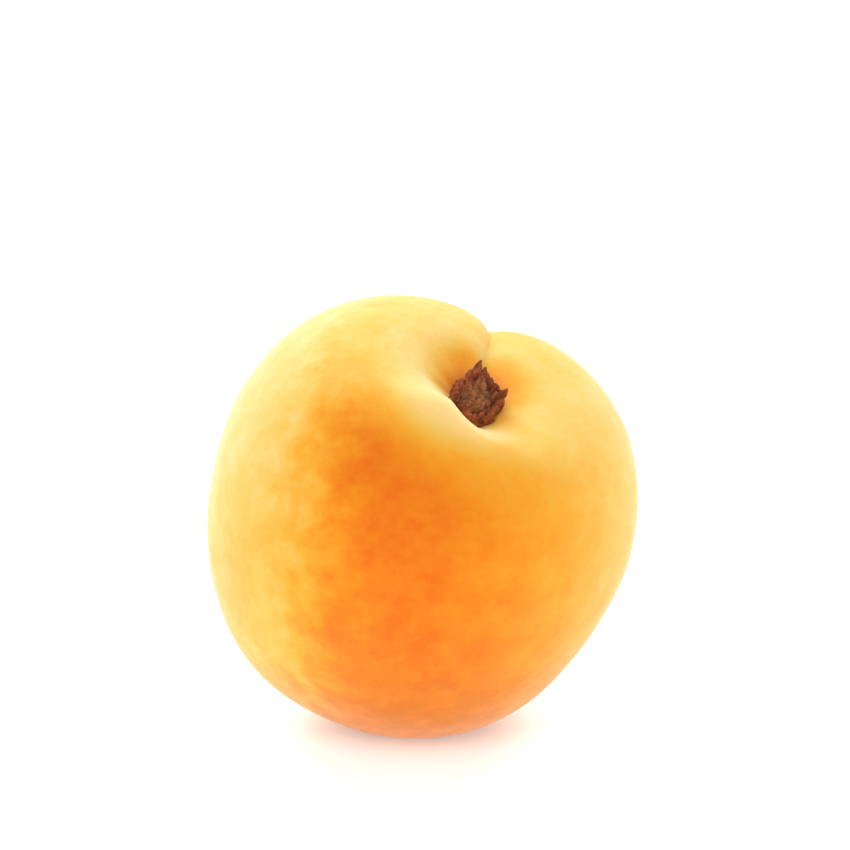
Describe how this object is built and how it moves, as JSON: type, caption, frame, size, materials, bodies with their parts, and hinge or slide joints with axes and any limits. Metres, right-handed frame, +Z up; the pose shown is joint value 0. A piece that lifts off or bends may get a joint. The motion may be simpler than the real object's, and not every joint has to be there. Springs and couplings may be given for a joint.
{
  "type": "apricot",
  "caption": "Ripe apricot with a soft suture groove and a deep stem cavity that still holds a short torn stub of its stalk; food and table dressing.",
  "frame": {"origin": "middle of the small flat spot the fruit rests on, on the floor", "axes": "+Z up; the stem end leans towards -Y and +X, so the cavity and its stub look to the front; the suture runs over the top and down the back (+Y)"},
  "size_m": [0.05, 0.0495, 0.0518],
  "materials": {
    "fruit_skin": "matte",
    "stub_bark": "matte"
  },
  "bodies": {
    "root": {"fruit": "fruit_skin", "stem_stub": "stub_bark"}
  },
  "joints": []
}
